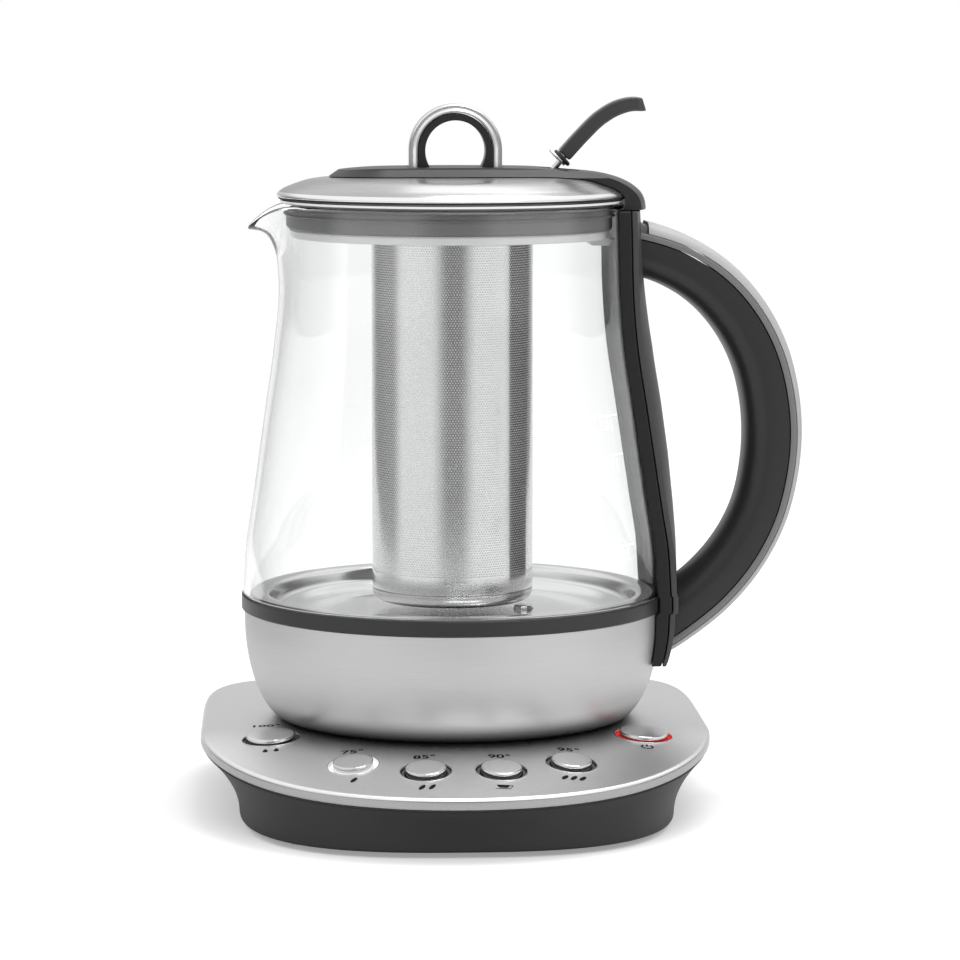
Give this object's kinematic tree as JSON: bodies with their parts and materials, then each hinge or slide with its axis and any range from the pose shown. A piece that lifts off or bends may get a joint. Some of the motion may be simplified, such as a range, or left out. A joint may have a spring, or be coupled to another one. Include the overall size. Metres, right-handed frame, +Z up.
{
  "type": "automatic tea maker",
  "caption": "Glass jug kettle with a hanging infuser, C-shaped handle and sprung lid lever, on a low powered base with round push buttons.",
  "frame": {"origin": "centre of the bounding box's bottom face: on the floor, under the middle of the whole object", "axes": "+Z up; the buttons face -Y; the handle points to +X and the spout to -X"},
  "size_m": [0.2129, 0.2, 0.2504],
  "materials": {
    "brushed_steel": "fine brushed, satin",
    "chrome": "satin face, polished edge",
    "perforated_steel": "fine perforated sheet",
    "aluminium": "plain",
    "zinc": "zinc plated",
    "black_plastic": "satin",
    "dark_grey_plastic": "satin",
    "grey_plastic": "satin",
    "silver_paint": "silver satin paint",
    "pale_plastic": "satin",
    "grey_silicone": "matt",
    "black_rubber": "matt",
    "lens": "frosted",
    "circuit_board": "green lacquer",
    "connector_plastic": "matt",
    "clear_glass": "polished"
  },
  "bodies": {
    "base": {"base_top_plate": "brushed_steel", "pan_screw_1": "zinc", "pan_screw_2": "zinc", "pan_screw_3": "zinc", "pan_screw_4": "zinc", "base_wall": "black_plastic", "base_pan": "black_plastic", "cord_gland": "black_plastic", "foot_1": "black_rubber", "foot_2": "black_rubber", "foot_3": "black_rubber", "foot_4": "black_rubber", "light_ring_100": "lens", "light_ring_75": "lens", "light_ring_85": "lens", "light_ring_90": "lens", "light_ring_95": "lens", "light_ring_power": "lens", "control_board": "circuit_board", "power_board": "circuit_board", "base_connector": "connector_plastic"},
    "button_100": {"button_100": "chrome"},
    "button_75": {"button_75": "chrome"},
    "button_85": {"button_85": "chrome"},
    "button_90": {"button_90": "chrome"},
    "button_95": {"button_95": "chrome"},
    "button_power": {"button_power": "chrome"},
    "jug": {"glass_body": "clear_glass", "ring_band": "dark_grey_plastic", "glass_seal": "grey_silicone", "heater_plate": "brushed_steel", "heating_element": "aluminium", "heat_spreader": "aluminium", "temperature_sensor": "brushed_steel", "bowl_shell": "brushed_steel", "jug_bottom_cover": "black_plastic", "jug_connector": "connector_plastic", "spine_inner": "dark_grey_plastic", "spine_cover": "dark_grey_plastic", "handle_grip": "dark_grey_plastic", "handle_strip": "grey_plastic", "handle_trim": "silver_paint", "handle_screw_upper": "zinc", "handle_screw_lower": "zinc"},
    "lid": {"lid_dome": "brushed_steel", "lid_cap": "dark_grey_plastic", "lid_plug": "pale_plastic", "lid_gasket": "grey_silicone", "lid_lower_plate": "pale_plastic", "loop_band": "brushed_steel", "loop_insert": "dark_grey_plastic", "basket_collar": "pale_plastic", "lever_pin": "zinc"},
    "lever": {"lever_rod": "brushed_steel", "lever_washer": "brushed_steel", "lever_rubber_ring": "black_rubber", "lever_grip": "dark_grey_plastic"},
    "catch": {"lid_catch": "pale_plastic"},
    "basket": {"basket_tube": "perforated_steel", "basket_cup": "brushed_steel"}
  },
  "joints": [
    {"name": "press_100", "type": "slide", "parent": "base", "child": "button_100", "axis": [0.0683, 0.0784, -0.9946], "range_m": [0, 0.0015], "stiffness_N_per_m": 400, "springref_m": -0.001},
    {"name": "press_75", "type": "slide", "parent": "base", "child": "button_75", "axis": [0.0821, 0.1839, -0.9795], "range_m": [0, 0.0015], "stiffness_N_per_m": 400, "springref_m": -0.001},
    {"name": "press_85", "type": "slide", "parent": "base", "child": "button_85", "axis": [0.0324, 0.2032, -0.9786], "range_m": [0, 0.0015], "stiffness_N_per_m": 400, "springref_m": -0.001},
    {"name": "press_90", "type": "slide", "parent": "base", "child": "button_90", "axis": [-0.0324, 0.2032, -0.9786], "range_m": [0, 0.0015], "stiffness_N_per_m": 400, "springref_m": -0.001},
    {"name": "press_95", "type": "slide", "parent": "base", "child": "button_95", "axis": [-0.0821, 0.1839, -0.9795], "range_m": [0, 0.0015], "stiffness_N_per_m": 400, "springref_m": -0.001},
    {"name": "press_power", "type": "slide", "parent": "base", "child": "button_power", "axis": [-0.0683, 0.0784, -0.9946], "range_m": [0, 0.0015], "stiffness_N_per_m": 400, "springref_m": -0.001},
    {"name": "jug_lift", "type": "slide", "parent": "base", "child": "jug", "axis": [0, 0, 1], "range_m": [0, 0.12]},
    {"name": "lid_lift", "type": "slide", "parent": "jug", "child": "lid", "axis": [0, 0, 1], "range_m": [0, 0.16]},
    {"name": "lever_tip", "type": "hinge", "parent": "lid", "child": "lever", "pos_m": [0.0152, 0.012, 0.219], "axis": [0, 1, 0], "range_deg": [0, 14], "stiffness_Nm_per_rad": 0.2, "springref_deg": -5.73},
    {"name": "catch_draw", "type": "slide", "parent": "lid", "child": "catch", "axis": [-1, 0, 0], "range_m": [0, 0.003]},
    {"name": "basket_turn", "type": "hinge", "parent": "lid", "child": "basket", "pos_m": [-0.017, 0.012, 0.2], "axis": [0, 0, 1], "range_deg": [0, 30]}
  ],
  "couplings": [
    {"joint": "catch_draw", "follows": "lever_tip", "m_per_rad": 0.0119}
  ]
}
